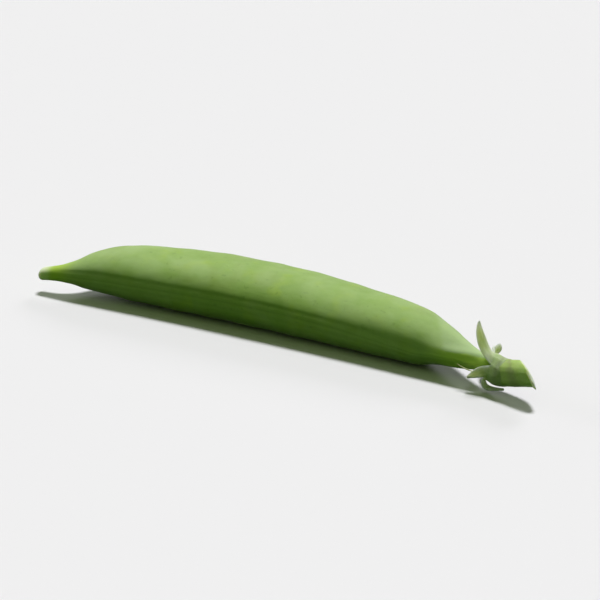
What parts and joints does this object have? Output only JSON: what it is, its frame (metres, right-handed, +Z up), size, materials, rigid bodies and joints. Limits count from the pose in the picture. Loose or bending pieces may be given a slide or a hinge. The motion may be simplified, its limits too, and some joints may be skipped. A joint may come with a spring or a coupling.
{
  "type": "sugar snap pea",
  "caption": "Fresh whole pea pod with a blunt beak, a raised seam, a calyx with curled sepals and a short broken stem, lying on its side.",
  "frame": {"origin": "on the surface that the pod lies on, under the middle of the whole pea", "axes": "+X along the pod from its beak towards its stem, -Y the way the seam faces, +Z up"},
  "size_m": [0.0882, 0.0198, 0.012],
  "materials": {
    "pod_skin": "fresh green pod skin, satin with a thin waxy bloom",
    "calyx": "matte grey-green leafy calyx with fine veins",
    "stem": "matte yellow-green stalk, pale where it broke off",
    "withered_thread": "dry cream-coloured thread"
  },
  "bodies": {
    "root": {"pod": "pod_skin", "calyx_cup": "calyx", "sepal_top": "calyx", "sepal_front": "calyx", "sepal_under": "calyx", "sepal_back": "calyx", "sepal_back_top": "calyx", "stem": "stem", "stamen_thread_long": "withered_thread", "stamen_thread_short": "withered_thread"}
  },
  "joints": []
}
